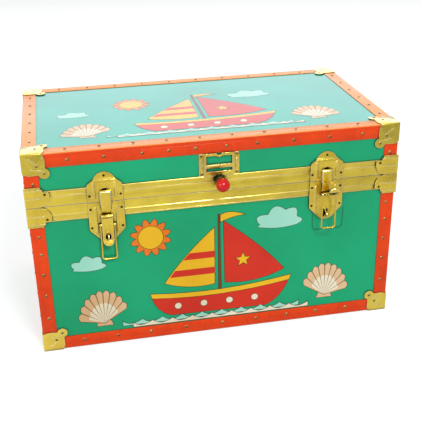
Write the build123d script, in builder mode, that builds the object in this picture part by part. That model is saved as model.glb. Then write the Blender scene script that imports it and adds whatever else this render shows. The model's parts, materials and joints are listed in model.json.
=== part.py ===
from build123d import *
import os
from math import asin, cos, radians, sin

# Small tin trunk: a board box skinned with painted tin, bound in folded metal, with a hinged lid,
# a tongue-and-groove strip round the opening, two wire-bail draw latches and a card holder.
# Millimetres. +Z is up, -Y is the front. The origin is under the middle of all that sticks out.

# ---------------------------------------------------------------- driving dimensions
width, depth = 600.0, 350.0                     # over the corner caps
body_height, lid_height = 262.0, 88.0           # below and above the joint
joint_gap = 0.8                                 # air between lid and body all round
board_thickness = 8.0
tin_thickness = 0.6
binding_thickness = 1.0
binding_width = 23.0
fold_radius = 1.8                               # outside of every folded edge
groove_inset, groove_width, groove_depth = 7.0, 0.8, 0.3
cap_thickness = 1.2
fit_gap = 0.2                                   # between pieces laid side by side
running_gap = 0.08                              # round a shaft that turns

cap_edge_reach, cap_reach, cap_side_reach = 31.0, 35.5, 34.5
cap_bulge_at, cap_bulge_out = 12.0, 34.4        # where its rounded edge ends and how far it bows
cap_ear_radius = 8.4
cap_rib_width, cap_rib_height = 1.8, 0.8
cap_rib_places = (((17.0, 12.5), 15.0, 37.0), ((22.5, 27.2), 17.4, 12.0))   # middle, length, slope
cap_dot_place = (32.0, 8.0)

strip_height = 26.0
strip_flat, strip_rib, strip_band = 1.4, 1.9, 0.9   # how far its levels stand off the tin
strip_rib_rise = 16.0                           # rib height above or below the joint
rib_width = 2.4
slot_depth, slot_width = 9.0, 0.8
tongue_rise, tongue_thickness = 8.0, 0.4

clamp_thickness = 1.2
clamp_reach, clamp_rise = 38.0, 33.5
clamp_shoulder = 25.0
clamp_arc_start, clamp_arc_rise = 21.0, 17.0
clamp_chamfer_u, clamp_chamfer_v = 2.4, 1.6
clamp_slope_end = 28.7
clamp_rib_end, clamp_rib_width, clamp_rib_height = 30.0, 2.0, 0.5
clamp_rib_rises = (15.5, 28.5)

latch_inset = 121.1                             # from an end of the trunk to a latch's middle
plate_thickness = 1.2
keeper_step = 0.5                               # how much the lid's plate stands in at each side
keeper_shoulder, keeper_crease, keeper_rise = 29.5, 38.5, 49.5
keeper_crown_half = 16.0
keeper_flat_rise, keeper_rib_rise = 36.4, 33.0
base_half, base_drop, base_chamfer_drop, base_shoulder_drop = 28.0, 69.2, 47.5, 62.3
base_foot_half = 13.5
pressed_taper = 40.0                            # degrees the sides of a pressed rib lean in
plate_corner = 7.0
rib_inset, pressed_rib_width, pressed_rib_height = 16.8, 5.0, 1.1
hood_half, hood_top, hood_drop, hood_depth, hood_wall = 9.4, 20.0, 2.7, 6.0, 1.2
hood_round = 4.6
hood_window_radius, hood_window_rise, hood_slit = 7.6, 15.6, 1.6
guide_half, guide_thickness, guide_rise, guide_root_drop = 7.6, 1.0, 5.0, 18.0
guide_lift = 1.4
window_half = 8.4

lever_half, lever_length, lever_thickness = 8.9, 49.2, 1.2
lever_pin_drop = 23.5                           # below the joint
lever_pin_radius = 1.5
lever_ear_radius = 2.8
lever_flange_length = 38.0
lever_slot_length, lever_slot_width, lever_slot_at = 11.7, 9.2, 35.2
lever_curl_at, lever_curl_out = 42.0, 4.6       # where the tip starts to turn out, and how far
lift_gap = 0.4                                  # lever off the base plate
left_lift, right_lift = 0.0, 116.0              # how far each lever is raised, in degrees

bail_pin_at = 14.8                              # down the lever from its own pin
bail_wire_radius, bail_pin_radius = 1.4, 1.0
bail_length = 60.2
bail_eye_radius, bail_eye_width = 2.2, 2.8
bail_spread = 0.8                               # half widths: how much wider it is at the far end
bail_corner = 4.0
bail_side_gap = 0.4
pin_head_radius, pin_head_thickness = 1.8, 0.8

eye_thickness, eye_height, eye_reach = 2.0, 9.0, 11.2
eye_drop = 34.5                                 # below the lever's pin, inside the lever's slot
eye_bore_radius, eye_bore_at = 2.2, 7.5         # the padlock's way through, off the plate
eye_window_half, eye_window_height = 4.4, 14.0

card_centre, card_width = 2.0, 64.6
card_flange, card_sheet, card_room = 8.0, 1.0, 1.8
card_border, card_bar, card_bar_bead = 3.4, 6.2, 3.2
card_lower_window, card_foot, card_head = 5.8, 7.0, 4.6
card_notch_radius, card_notch_rise = 4.6, 1.5
card_notch_dip, card_notch_half = 2.6, 5.4
card_rivet_inset = 3.6
card_bead_width, card_bead_height, card_bead_slot = 4.0, 16.3, 2.0
card_bead_rise = 0.5

knob_x, knob_rise = 2.5, 18.5                   # off the middle, above the joint
knob_ball_radius, knob_ball_out = 11.0, 25.5
knob_seat_out = 16.5
collar_foot_radius, collar_radius, collar_step = 6.8, 7.9, 3.2
bolt_radius, bolt_head_radius, bolt_head_height, bolt_grip = 2.0, 4.6, 2.4, 8.0

hinge_inset = 130.0
leaf_width, leaf_height, leaf_thickness = 60.0, 34.0, 1.5
leaf_corner = 5.0
hinge_axis_out, hinge_knuckle_radius, hinge_pin_radius = 3.8, 3.5, 2.0
middle_knuckle = 24.0
knuckle_end_gap = 0.3
knuckle_clear = 0.8
stop_length, stop_thickness, stop_half = 7.0, 2.0, 8.0
leaf_rivet_side, leaf_rivet_rise = 22.0, 15.0

nail_head_radius, nail_head_height, nail_shank_radius, nail_length = 2.7, 1.4, 0.8, 8.0
cap_nail_radius = 2.5
tack_head_radius, tack_head_height, tack_shank_radius, tack_length = 2.0, 0.9, 0.7, 9.0
nail_inset = 13.0
first_nail = 67.0                               # from a corner, along the long edges
first_side_nail = 55.0
lid_pitch, base_pitch, post_pitch = 52.0, 57.0, 39.0
post_margin, lid_post_margin = 14.0, 4.3        # nails' middles, off the clamps and the caps
lid_nail_drifts = (1.5, 5.4, 12.0, 1.0, -8.9, -11.6, -13.8, -6.8, 1.3, 4.3)   # driven by hand
base_nail_drifts = (1.2, -0.8, -3.6, -1.2, 4.0, 3.6, 0.8, -4.8, -8.8)
post_nail_drifts = (7.0, 10.0, 8.5, 5.0, -3.8)
cap_nail_u, cap_nail_v = 22.5, 20.5
plate_tack_inset = 3.9
keeper_tack_rise, keeper_top_tack_rise = 11.3, 43.3
base_tack_drops = (11.4, 43.2)
clamp_tack_u, clamp_tack_v = 30.0, 21.0

# ---------------------------------------------------------------- places worked out from them
joint_height = body_height
height = body_height + lid_height
skin_inset = cap_thickness + binding_thickness  # from the outside of the caps to the tin
board_inset = skin_inset + tin_thickness
inner_inset = board_inset + board_thickness
lid_low = joint_height + joint_gap / 2
body_high = joint_height - joint_gap / 2

plate_back = strip_rib                          # latch plates lie on the ribs of the strips
plate_face = plate_back + plate_thickness
lever_back = plate_face + lift_gap
lever_pin_out = lever_back + lever_ear_radius
bail_pin_out = lever_back + bail_eye_radius
lever_web_out = bail_pin_out + bail_pin_radius + running_gap
lever_face = lever_web_out + lever_thickness
lever_pin_z = joint_height - lever_pin_drop
bail_pin_z = lever_pin_z - bail_pin_at
latch_x = width / 2 - latch_inset
keeper_half = base_half - keeper_step
eye_z = lever_pin_z - eye_drop

front_reach = depth / 2 - skin_inset + lever_pin_out + lever_length * sin(radians(right_lift))
back_reach = depth / 2 - skin_inset + hinge_axis_out + stop_length
box_y = (front_reach - back_reach) / 2          # the box stands this far behind the origin

front_y = box_y - depth / 2 + skin_inset
back_y = box_y + depth / 2 - skin_inset
side_x = width / 2 - skin_inset
top_z = height - skin_inset

front_face = Plane(origin=(0, front_y, 0), x_dir=(1, 0, 0), z_dir=(0, -1, 0))
back_face = Plane(origin=(0, back_y, 0), x_dir=(-1, 0, 0), z_dir=(0, 1, 0))
left_face = Plane(origin=(-side_x, box_y, 0), x_dir=(0, -1, 0), z_dir=(-1, 0, 0))
right_face = Plane(origin=(side_x, box_y, 0), x_dir=(0, 1, 0), z_dir=(1, 0, 0))
top_face = Plane(origin=(0, box_y, top_z), x_dir=(1, 0, 0), z_dir=(0, 0, 1))
mid_x = Plane(origin=(0, box_y, 0), x_dir=(0, 1, 0), z_dir=(1, 0, 0))
mid_y = Plane(origin=(0, box_y, 0), x_dir=(1, 0, 0), z_dir=(0, 1, 0))
mid_z = Plane(origin=(0, 0, height / 2), x_dir=(1, 0, 0), z_dir=(0, 0, 1))

os.makedirs("parts", exist_ok=True)


def save(piece, name):
    piece.part.label = name
    export_step(piece.part, f"parts/{name}.step")


def mirrored(source, *planes):
    """The same piece on the other side of each plane in turn."""
    with BuildPart() as copy:
        add(source.part)
        for plane in planes:
            mirror(about=plane, mode=Mode.REPLACE)
    return copy


def outline_of(points):
    """The closed flat shape through the points."""
    with BuildSketch() as shape:
        with BuildLine():
            Polyline(*points, close=True)
        make_face()
    return shape.sketch


def front_section(x):
    """Plane across the front: its x runs outwards from the tin and its y runs up."""
    return Plane(origin=(x, front_y, 0), x_dir=(0, -1, 0), z_dir=(-1, 0, 0))


def slab(low, high, mode=Mode.ADD):
    """A block between two opposite corners."""
    size = [b - a for a, b in zip(low, high)]
    with Locations(tuple((a + b) / 2 for a, b in zip(low, high))):
        Box(*size, mode=mode)


def front_slab(x0, x1, out0, out1, z0, z1, mode=Mode.ADD):
    """A block measured outwards from the tin of the front."""
    slab((x0, front_y - out1, z0), (x1, front_y - out0, z1), mode)


def x_cylinder(radius, x0, x1, out, z, mode=Mode.ADD, y=None):
    """A cylinder along X, placed by its distance out from the front tin, or by y."""
    y = front_y - out if y is None else y
    foot = (Align.CENTER, Align.CENTER, Align.MIN)
    with Locations(Plane(origin=(x0, y, z), x_dir=(0, 1, 0), z_dir=(1, 0, 0))):
        Cylinder(radius, x1 - x0, align=foot, mode=mode)


def spread(low, high, pitch):
    """Even places from low to high, about a pitch apart."""
    count = max(1, round((high - low) / pitch))
    return [low + (high - low) * i / count for i in range(count + 1)]


def by_hand(places, drifts):
    """The places, each moved along its row by its own small drift."""
    return [place + drifts[i % len(drifts)] for i, place in enumerate(places)]


# ---------------------------------------------------------------- boards
def board(name, low, high):
    with BuildPart() as piece:
        slab(low, high)
    save(piece, name)


wall_x = width / 2 - board_inset
wall_front, wall_back = front_y + tin_thickness, back_y - tin_thickness
inner_x = wall_x - board_thickness
inner_front, inner_back = wall_front + board_thickness, wall_back - board_thickness
floor_z = board_inset + board_thickness
ceiling_z = height - inner_inset

board("bottom_board", (-wall_x, wall_front, board_inset), (wall_x, wall_back, floor_z))
board("lid_top_board", (-wall_x, wall_front, ceiling_z), (wall_x, wall_back, height - board_inset))
for prefix, low_z, high_z in (("body", floor_z, body_high), ("lid", lid_low, ceiling_z)):
    board(f"{prefix}_back_board", (-wall_x, inner_back, low_z), (wall_x, wall_back, high_z))
    board(f"{prefix}_left_board", (-wall_x, inner_front, low_z), (-inner_x, inner_back, high_z))
    board(f"{prefix}_right_board", (inner_x, inner_front, low_z), (wall_x, inner_back, high_z))
board("body_front_board", (-wall_x, wall_front, floor_z), (wall_x, inner_front, body_high))

knob_z = joint_height + knob_rise
with BuildPart() as lid_front_board:
    slab((-wall_x, wall_front, lid_low), (wall_x, inner_front, ceiling_z))
    with BuildSketch(front_face):
        with Locations((knob_x, knob_z)):
            Circle(bolt_radius + running_gap)
    extrude(amount=-inner_inset, mode=Mode.SUBTRACT)
save(lid_front_board, "lid_front_board")


# ---------------------------------------------------------------- painted tin
def tin_wrap(low_z, high_z):
    with BuildPart() as wrap:
        with BuildSketch(Plane.XY.offset(low_z)):
            with Locations((0, box_y)):
                Rectangle(2 * side_x, back_y - front_y)
                Rectangle(2 * wall_x, wall_back - wall_front, mode=Mode.SUBTRACT)
        extrude(amount=high_z - low_z)
    return wrap


with BuildPart() as bottom_tin:
    slab((-side_x, front_y, skin_inset), (side_x, back_y, board_inset))
save(bottom_tin, "bottom_tin")
save(tin_wrap(board_inset, body_high), "body_tin")

with BuildPart() as lid_top_tin:
    slab((-side_x, front_y, height - board_inset), (side_x, back_y, top_z))
save(lid_top_tin, "lid_top_tin")

with BuildPart() as lid_tin:
    add(tin_wrap(lid_low, height - board_inset).part)
    with BuildSketch(front_face):
        with Locations((knob_x, knob_z)):
            Circle(bolt_radius + running_gap)
    extrude(amount=-tin_thickness, mode=Mode.SUBTRACT)
save(lid_tin, "lid_tin")


# ---------------------------------------------------------------- folded bindings
def angle_outline():
    """The folded angle with its outer corner at 0,0 and both legs running to minus."""
    groove_low = groove_inset + groove_width / 2
    groove_high = groove_inset - groove_width / 2
    half = [
        (-binding_width, 0),
        (-groove_low, 0),
        (-groove_inset, -groove_depth),
        (-groove_high, 0),
    ]
    inner = (-binding_thickness, -binding_thickness)
    points = half + [(-fold_radius, 0)]
    with BuildSketch() as outline:
        with BuildLine():
            Polyline(*points)
            CenterArc((-fold_radius, -fold_radius), fold_radius, 0, 90)
            Polyline(*[(y, x) for x, y in reversed(points)])
            Polyline((0, -binding_width), (-binding_thickness, -binding_width), inner)
            Polyline(inner, (-binding_width, -binding_thickness), (-binding_width, 0))
        make_face()
    return outline.sketch


edge_x = width / 2 - cap_thickness
edge_front, edge_back = front_y - binding_thickness, back_y + binding_thickness
edge_top = height - cap_thickness

with BuildPart() as long_binding:
    corner = (0, edge_front, edge_top)
    with BuildSketch(Plane(origin=corner, x_dir=(0, -1, 0), z_dir=(-1, 0, 0))):
        add(angle_outline())
    extrude(amount=edge_x, both=True)
    for side in (-1, 1):
        mitre = Plane(origin=(side * edge_x, edge_front, 0), x_dir=(0, 0, 1), z_dir=(-side, -1, 0))
        split(bisect_by=mitre, keep=Keep.TOP)

with BuildPart() as short_binding:
    corner = (-edge_x, box_y, edge_top)
    with BuildSketch(Plane(origin=corner, x_dir=(-1, 0, 0), z_dir=(0, 1, 0))):
        add(angle_outline())
    extrude(amount=(edge_back - edge_front) / 2, both=True)
    for side, end_y in ((-1, edge_front), (1, edge_back)):
        mitre = Plane(origin=(-edge_x, end_y, 0), x_dir=(0, 0, 1), z_dir=(-1, -side, 0))
        split(bisect_by=mitre, keep=Keep.TOP)

for level, planes in (("lid", ()), ("bottom", (mid_z,))):
    save(mirrored(long_binding, *planes), f"{level}_binding_front")
    save(mirrored(long_binding, mid_y, *planes), f"{level}_binding_back")
    save(mirrored(short_binding, *planes), f"{level}_binding_left")
    save(mirrored(short_binding, mid_x, *planes), f"{level}_binding_right")


def corner_posts(low_z, high_z):
    """Four upright angles, one on each corner of the box."""
    with BuildPart() as posts:
        corner = (-edge_x, edge_front, low_z)
        with BuildSketch(Plane(origin=corner, x_dir=(-1, 0, 0), z_dir=(0, 0, 1))):
            add(angle_outline())
        extrude(amount=high_z - low_z)
        mirror(about=mid_x)
        mirror(about=mid_y)
    return posts


save(corner_posts(cap_thickness + binding_width, body_high), "body_corner_bindings")
save(corner_posts(lid_low, edge_top - binding_width), "lid_corner_bindings")

# ---------------------------------------------------------------- corner caps
ear_at = cap_thickness + binding_width + cap_ear_radius + fit_gap


def lobe_outline():
    """One lobe of a cap: a bulging square from the corner of the box, with a round ear."""
    with BuildSketch() as outline:
        with BuildLine():
            bow_out, bow_at = cap_bulge_out, cap_bulge_at / 2
            Line((0, 0), (cap_edge_reach, 0))
            ThreePointArc((cap_edge_reach, 0), (bow_out, bow_at), (cap_reach, cap_bulge_at))
            Line((cap_reach, cap_bulge_at), (cap_side_reach, ear_at))
            Line((cap_side_reach, ear_at), (ear_at, cap_side_reach))
            Line((ear_at, cap_side_reach), (cap_bulge_at, cap_reach))
            ThreePointArc((cap_bulge_at, cap_reach), (bow_at, bow_out), (0, cap_edge_reach))
            Line((0, cap_edge_reach), (0, 0))
        make_face()
        with Locations((ear_at, ear_at)):
            Circle(cap_ear_radius)
    return outline.sketch


def cap_ribs(down_first):
    """Two pressed ribs that fan out from the corner, and a pressed dot."""
    with BuildSketch() as ribs:
        for (along, down), length, slope in cap_rib_places:
            place, turn = ((down, along), 90 - slope) if down_first else ((along, down), slope)
            with Locations(place):
                SlotOverall(length, cap_rib_width, rotation=turn)
        with Locations(cap_dot_place[::-1] if down_first else cap_dot_place):
            Circle(cap_rib_width / 2)
    return ribs.sketch


cap_corner = (-width / 2, box_y - depth / 2, height)


def on_box_edge(point):
    """Whether a point lies in two of the three outer faces that meet at the cap's corner."""
    offsets = [abs(a - b) for a, b in zip(tuple(point), cap_corner)]
    return sum(offset < fit_gap for offset in offsets) >= 2


cap_faces = {
    "front": Plane(origin=cap_corner, x_dir=(0, 0, -1), z_dir=(0, -1, 0)),
    "side": Plane(origin=cap_corner, x_dir=(0, 1, 0), z_dir=(-1, 0, 0)),
    "top": Plane(origin=cap_corner, x_dir=(1, 0, 0), z_dir=(0, 0, 1)),
}

with BuildPart() as cap:
    for face in cap_faces.values():
        with BuildSketch(face):
            add(lobe_outline())
        extrude(amount=-cap_thickness)
    fillet(cap.edges().filter_by(lambda e: on_box_edge(e.center())), fold_radius)
    for face in cap_faces.values():
        with BuildSketch(face.offset(-cap_thickness)):
            with Locations((ear_at, ear_at)):
                Circle(cap_ear_radius - fit_gap)
        extrude(amount=-binding_thickness)
    for name, down_first in (("front", True), ("side", False)):
        with BuildSketch(cap_faces[name]):
            add(cap_ribs(down_first))
        extrude(amount=cap_rib_height, taper=pressed_taper / 2)

for level, planes in (("top", ()), ("bottom", (mid_z,))):
    save(mirrored(cap, *planes), f"cap_{level}_front_left")
    save(mirrored(cap, mid_x, *planes), f"cap_{level}_front_right")
    save(mirrored(cap, mid_y, *planes), f"cap_{level}_back_left")
    save(mirrored(cap, mid_x, mid_y, *planes), f"cap_{level}_back_right")


# ---------------------------------------------------------------- closing strips
def strip_face(start, up):
    """Points of a strip's outer side from the joint to its far edge: a rib, a band and a lip."""
    rib, far, half = strip_rib_rise, strip_height, rib_width / 2
    steps = [
        (strip_flat, joint_gap / 2),
        (strip_flat, rib - half),
        (strip_rib, rib - half / 2),
        (strip_rib, rib + half / 2),
        (strip_band, rib + half),
        (strip_band, far - rib_width),
        (strip_rib, far - rib_width + half / 2),
        (strip_rib, far - half / 2),
        (strip_flat, far),
    ]
    return [start] + [(out, joint_height + up * rise) for out, rise in steps]


def lid_strip_outline():
    slot_top = lid_low + slot_depth
    points = strip_face((slot_width, lid_low), 1)
    points += [(0, joint_height + strip_height), (0, slot_top), (slot_width, slot_top)]
    return outline_of(points)


def body_strip_outline():
    tongue_back = (slot_width - tongue_thickness) / 2
    tongue_front = tongue_back + tongue_thickness
    tongue_top = joint_height + tongue_rise
    points = strip_face((tongue_front, body_high), -1)
    points += [(0, joint_height - strip_height), (0, body_high), (tongue_back, body_high)]
    points += [(tongue_back, tongue_top), (tongue_front, tongue_top)]
    return outline_of(points)


half_front_strip = width / 2 - cap_thickness - binding_width - fit_gap
half_side_strip = depth / 2 - cap_thickness - binding_width - fit_gap
side_section = Plane(origin=(-side_x, box_y, 0), x_dir=(-1, 0, 0), z_dir=(0, 1, 0))
strip_outlines = {"body": body_strip_outline, "lid": lid_strip_outline}

for prefix, outline in strip_outlines.items():
    with BuildPart() as front_strip:
        with BuildSketch(front_section(0)):
            add(outline())
        extrude(amount=half_front_strip, both=True)
        if prefix == "lid":
            with BuildSketch(front_face):
                with Locations((knob_x, knob_z)):
                    Circle(collar_foot_radius + fit_gap)
                with Locations(*[(x, joint_height + hood_window_rise) for x in (-latch_x, latch_x)]):
                    Circle(hood_window_radius)
            extrude(amount=strip_rib, mode=Mode.SUBTRACT)
    save(front_strip, f"{prefix}_strip_front")

    with BuildPart() as side_strips:
        with BuildSketch(side_section):
            add(outline())
        extrude(amount=half_side_strip, both=True)
        mirror(about=mid_x)
    save(side_strips, f"{prefix}_strips_side")


# ---------------------------------------------------------------- corner clamps at the joint
def clamp_outline(edge, sign, up, reach):
    """One leg of a clamp: edge is the box's corner, sign points away from it along the wall."""

    def at(u, v):
        return (edge + sign * u, joint_height + up * v)

    low = joint_gap / 2
    if reach < clamp_reach:
        return outline_of([at(0, low), at(reach, low), at(reach, clamp_rise), at(0, clamp_rise)])
    bend = (clamp_reach - clamp_arc_start) * (1 - sin(radians(45)))
    rise = clamp_arc_rise * (1 - cos(radians(45)))
    with BuildSketch() as outline:
        with BuildLine():
            Line(at(0, low), at(clamp_arc_start, low))
            ThreePointArc(
                at(clamp_arc_start, low),
                at(clamp_reach - bend, low + rise),
                at(clamp_reach, clamp_arc_rise),
            )
            Polyline(
                at(clamp_reach, clamp_arc_rise),
                at(clamp_reach, clamp_shoulder - clamp_chamfer_v),
                at(clamp_reach - clamp_chamfer_u, clamp_shoulder),
                at(clamp_slope_end, clamp_shoulder),
                at(binding_width + cap_thickness, clamp_rise),
                at(0, clamp_rise),
                at(0, low),
            )
        make_face()
    return outline.sketch


clamp_face = strip_rib + clamp_thickness
clamp_edge_x = side_x + clamp_face
clamp_half_y = depth / 2 - skin_inset + clamp_face


def clamp_leg(face, edge, sign, up, reach):
    """Thick over the binding, thin where it rides over the end of the strip."""
    inner = binding_width + cap_thickness + clamp_face - skin_inset
    low, high = sorted((joint_height, joint_height + up * 2 * clamp_rise))
    with BuildSketch(face.offset(binding_thickness)) as thick:
        add(clamp_outline(edge, sign, up, reach))
        if reach > inner:
            cut = edge + sign * inner
            with Locations((cut + sign * reach / 2, (low + high) / 2)):
                Rectangle(reach, high - low, mode=Mode.SUBTRACT)
    extrude(thick.sketch, amount=clamp_face - binding_thickness)
    if reach > inner:
        with BuildSketch(face.offset(strip_rib)) as thin:
            add(clamp_outline(edge, sign, up, reach))
        extrude(thin.sketch, amount=clamp_thickness)
        with BuildSketch(face.offset(clamp_face)) as ribs:
            for rise in clamp_rib_rises:
                with Locations((edge + sign * clamp_rib_end / 2, joint_height + up * rise)):
                    SlotOverall(clamp_rib_end - 2 * fold_radius, clamp_rib_width)
        extrude(ribs.sketch, amount=clamp_rib_height, taper=pressed_taper / 2)


def clamps(up):
    with BuildPart() as group:
        clamp_leg(front_face, -clamp_edge_x, 1, up, clamp_reach)
        clamp_leg(left_face, clamp_half_y, -1, up, clamp_reach)
        clamp_leg(left_face, -clamp_half_y, 1, up, clamp_reach)
        clamp_leg(back_face, clamp_edge_x, -1, up, binding_width)
        mirror(about=mid_x)
    return group


save(clamps(1), "lid_clamps")
save(clamps(-1), "body_clamps")


# ---------------------------------------------------------------- draw latches
def pressed_ribs(x, low_z, high_z):
    """Two upright ribs pressed out of a latch plate."""
    middle = (low_z + high_z) / 2
    with BuildSketch(front_face.offset(plate_face)) as ribs:
        with Locations((x - rib_inset, middle), (x + rib_inset, middle)):
            SlotOverall(high_z - low_z, pressed_rib_width, rotation=90)
    extrude(ribs.sketch, amount=pressed_rib_height, taper=pressed_taper)


def keeper_outline(x):
    shoulder = joint_height + keeper_shoulder
    crease = joint_height + keeper_crease
    right, left = (x + keeper_crown_half, crease), (x - keeper_crown_half, crease)
    with BuildSketch() as outline:
        with BuildLine():
            Polyline(
                left,
                (x - keeper_half, shoulder),
                (x - keeper_half, lid_low),
                (x + keeper_half, lid_low),
                (x + keeper_half, shoulder),
                right,
            )
            ThreePointArc(right, (x, joint_height + keeper_rise), left)
        make_face()
        turns = outline.vertices().filter_by(lambda v: v.Y > lid_low + plate_corner)
        fillet(turns, plate_corner)
    return outline.sketch


def hood(x):
    """The hollow box the bail hooks over, open below for the guide tongue."""
    low = joint_height - hood_drop
    high = joint_height + hood_top
    inner_low = low - hood_wall
    inner_half = hood_half - hood_wall
    inner_face = plate_face + hood_depth - hood_wall
    with BuildPart() as box:
        front_slab(x - hood_half, x + hood_half, plate_face, plate_face + hood_depth, low, high)
        outer = box.faces().sort_by(Axis.Y)[0]
        fillet(outer.edges().filter_by(Axis.Z) + outer.edges().sort_by(Axis.Z)[-1:], hood_round)
        front_slab(x - inner_half, x + inner_half, plate_face, inner_face, inner_low,
                   high - hood_wall, Mode.SUBTRACT)
        front_slab(x - inner_half, x + inner_half, plate_face, plate_face + hood_slit,
                   high - 2 * hood_wall, high, Mode.SUBTRACT)
        front_slab(x - hood_half, x + hood_half, plate_face, lever_back, inner_low, lid_low,
                   Mode.SUBTRACT)
    return box


def keeper(x):
    """The plate on the lid, bent down to the tin at its crown, with its hood."""
    crease = joint_height + keeper_crease
    flat = joint_height + keeper_flat_rise
    crown = joint_height + keeper_rise + plate_thickness
    hook_box = hood(x)
    with BuildPart() as piece:
        with BuildSketch(front_face):
            add(keeper_outline(x))
        extrude(amount=plate_face)
        with BuildSketch(front_section(x)):
            with BuildLine():
                Polyline(
                    (plate_back, lid_low),
                    (plate_face, lid_low),
                    (plate_face, flat),
                    (plate_thickness, crease),
                    (plate_thickness, crown),
                    (0, crown),
                    (0, crease),
                    (plate_back, flat),
                    close=True,
                )
            make_face()
        extrude(amount=keeper_half, both=True, mode=Mode.INTERSECT)
        pressed_ribs(x, lid_low + pressed_rib_width, joint_height + keeper_rib_rise)
        with BuildSketch(front_face.offset(plate_back)):
            with Locations((x, joint_height + hood_window_rise)):
                Circle(hood_window_radius)
        extrude(amount=plate_thickness, mode=Mode.SUBTRACT)
        add(hook_box.part)
    return piece


def base_outline(x):
    foot = joint_height - base_shoulder_drop
    shoulder = joint_height - base_chamfer_drop
    right, left = (x + base_foot_half, foot), (x - base_foot_half, foot)
    with BuildSketch() as outline:
        with BuildLine():
            Polyline(
                left,
                (x - base_half, shoulder),
                (x - base_half, body_high),
                (x + base_half, body_high),
                (x + base_half, shoulder),
                right,
            )
            ThreePointArc(right, (x, joint_height - base_drop), left)
        make_face()
        turns = outline.vertices().filter_by(
            lambda v: abs(v.Y - shoulder) < fit_gap and v.Y < body_high - plate_corner
        )
        fillet(turns, plate_corner)
    return outline.sketch


def base(x):
    """The plate on the body: a guide tongue that enters the hood, a knuckle for the lever's pin
    and an eye for a padlock. Its rim is turned in to the tin below the strip."""
    strip_low = joint_height - strip_height - fit_gap
    root = joint_height - guide_root_drop
    guide_out = plate_face + guide_lift
    eye_out = plate_face + eye_reach
    with BuildPart() as piece:
        with BuildSketch(front_face):
            add(base_outline(x))
        extrude(amount=plate_face)
        with BuildSketch(front_face):
            add(base_outline(x))
            offset(amount=-plate_thickness, mode=Mode.REPLACE)
        extrude(amount=plate_back, mode=Mode.SUBTRACT)
        front_slab(
            x - base_half, x + base_half, 0, plate_back, strip_low, joint_height, Mode.SUBTRACT
        )
        pressed_ribs(x, joint_height - base_chamfer_drop - 2 * plate_tack_inset + plate_thickness,
                     body_high - 2 * plate_tack_inset)
        front_slab(
            x - window_half, x + window_half, plate_back, plate_face,
            root + plate_thickness, joint_height, Mode.SUBTRACT,
        )
        with BuildSketch(front_section(x)):
            with BuildLine():
                Polyline(
                    (plate_back, root),
                    (plate_face, root),
                    (guide_out + guide_thickness, root + guide_rise),
                    (guide_out + guide_thickness, joint_height + guide_rise),
                    (guide_out, joint_height + guide_rise),
                    (guide_out, root + guide_rise),
                    (plate_back, root + plate_thickness),
                    close=True,
                )
            make_face()
        extrude(amount=guide_half, both=True)
        knuckle_half = lever_half - lever_thickness - fit_gap
        front_slab(
            x - knuckle_half, x + knuckle_half, plate_face, lever_pin_out,
            lever_pin_z - lever_pin_radius, lever_pin_z + lever_pin_radius,
        )
        x_cylinder(lever_ear_radius, x - knuckle_half, x + knuckle_half, lever_pin_out, lever_pin_z)
        x_cylinder(lever_pin_radius, x - knuckle_half, x + knuckle_half, lever_pin_out,
                   lever_pin_z, Mode.SUBTRACT)
        for side in (-1, 1):
            near, far = sorted((x + side * eye_thickness / 2, x + side * eye_window_half))
            front_slab(
                near, far, plate_back, plate_face,
                eye_z - eye_window_height / 2, eye_z + eye_window_height / 2, Mode.SUBTRACT,
            )
        with BuildSketch(front_section(x)):
            with BuildLine():
                Polyline(
                    (plate_back, eye_z - eye_height / 2),
                    (eye_out - eye_height / 4, eye_z - eye_height / 2),
                    (eye_out, eye_z - eye_height / 4),
                    (eye_out, eye_z + eye_height / 4),
                    (eye_out - eye_height / 4, eye_z + eye_height / 2),
                    (plate_back, eye_z + eye_height / 2),
                    close=True,
                )
            make_face()
        extrude(amount=eye_thickness / 2, both=True)
        x_cylinder(eye_bore_radius, x - eye_thickness, x + eye_thickness,
                   plate_face + eye_bore_at, eye_z, Mode.SUBTRACT)
    return piece


def lever_down(x):
    """The lever in its closed place: a channel with two ears on the pin, a slot for the eye and a
    round tip that turns out for the finger."""
    end_z = lever_pin_z - lever_length + lever_half
    top = lever_pin_z - lever_ear_radius - lift_gap
    curl_z, tip_z = lever_pin_z - lever_curl_at, lever_pin_z - lever_length
    with BuildPart() as piece:
        with BuildSketch(front_face.offset(lever_web_out)):
            with Locations((x, (top + end_z) / 2)):
                Rectangle(2 * lever_half, top - end_z)
            with Locations((x, end_z)):
                Circle(lever_half)
            with Locations((x, lever_pin_z - lever_slot_at)):
                SlotOverall(lever_slot_length, lever_slot_width, rotation=90, mode=Mode.SUBTRACT)
        extrude(amount=lever_thickness + lever_curl_out)
        with BuildSketch(front_section(x)):
            add(outline_of([
                (lever_web_out, top),
                (lever_web_out, curl_z),
                (lever_web_out + lever_curl_out, tip_z),
                (lever_face + lever_curl_out, tip_z),
                (lever_face + lever_curl_out, tip_z + lever_thickness / 2),
                (lever_face, curl_z + lever_thickness / 2),
                (lever_face, top),
            ]))
        extrude(amount=lever_half, both=True, mode=Mode.INTERSECT)
        for side in (-1, 1):
            near, far = sorted((x + side * (lever_half - lever_thickness), x + side * lever_half))
            front_slab(
                near, far, lever_back, lever_face, lever_pin_z - lever_flange_length, lever_pin_z
            )
            x_cylinder(lever_ear_radius, near, far, lever_pin_out, lever_pin_z)
        x_cylinder(lever_pin_radius + running_gap, x - lever_half, x + lever_half,
                   lever_pin_out, lever_pin_z, Mode.SUBTRACT)
        x_cylinder(bail_pin_radius + running_gap, x - lever_half, x + lever_half,
                   bail_pin_out, bail_pin_z, Mode.SUBTRACT)
    return piece


eye_inner = lever_half + bail_side_gap
eye_outer = eye_inner + bail_eye_width


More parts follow.
